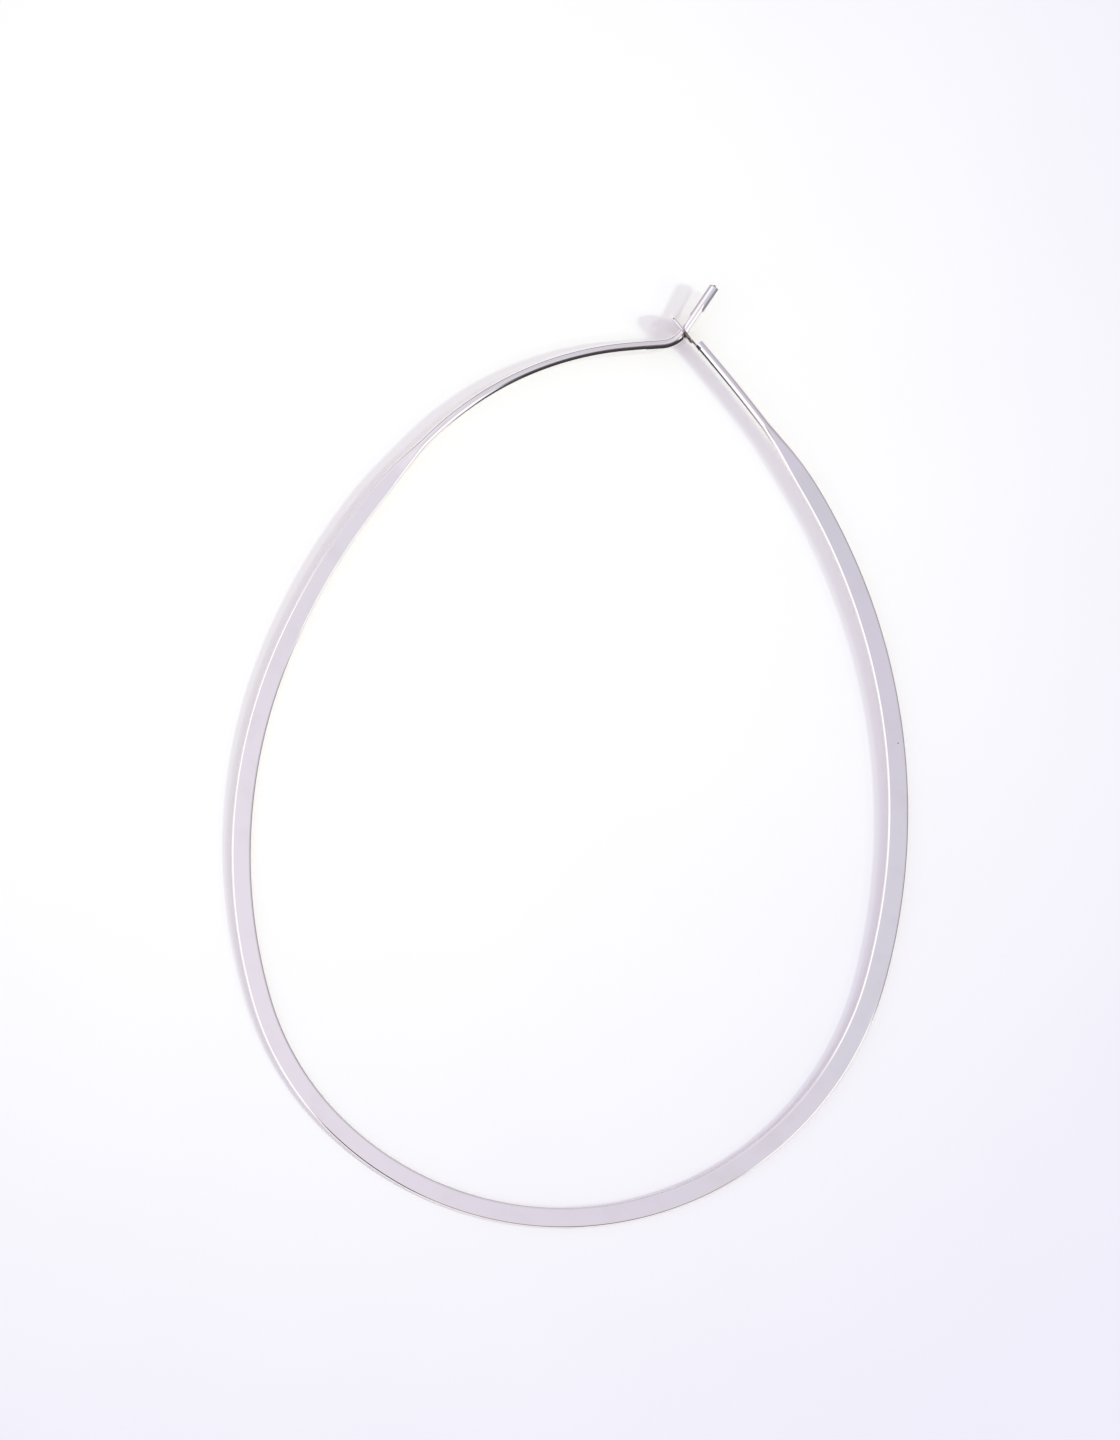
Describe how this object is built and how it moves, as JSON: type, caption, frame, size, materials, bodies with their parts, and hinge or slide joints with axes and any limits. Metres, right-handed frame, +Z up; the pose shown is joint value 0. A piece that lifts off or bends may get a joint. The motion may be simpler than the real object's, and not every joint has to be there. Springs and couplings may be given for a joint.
{
  "type": "teardrop earring",
  "caption": "Teardrop hoop earring of flattened wire, with a round ear wire whose bent tip passes through a pierced catch plate.",
  "frame": {"origin": "centre of the bounding box's base, on the surface that the earring lies on", "axes": "+Y runs from the drop's far end towards the catch, +Z up through the drop's opening as it lies, +X to the right seen from above"},
  "size_m": [0.055, 0.0768, 0.0022],
  "materials": {
    "silver": "polished silver plate"
  },
  "bodies": {
    "root": {"teardrop_hoop": "silver"}
  },
  "joints": []
}
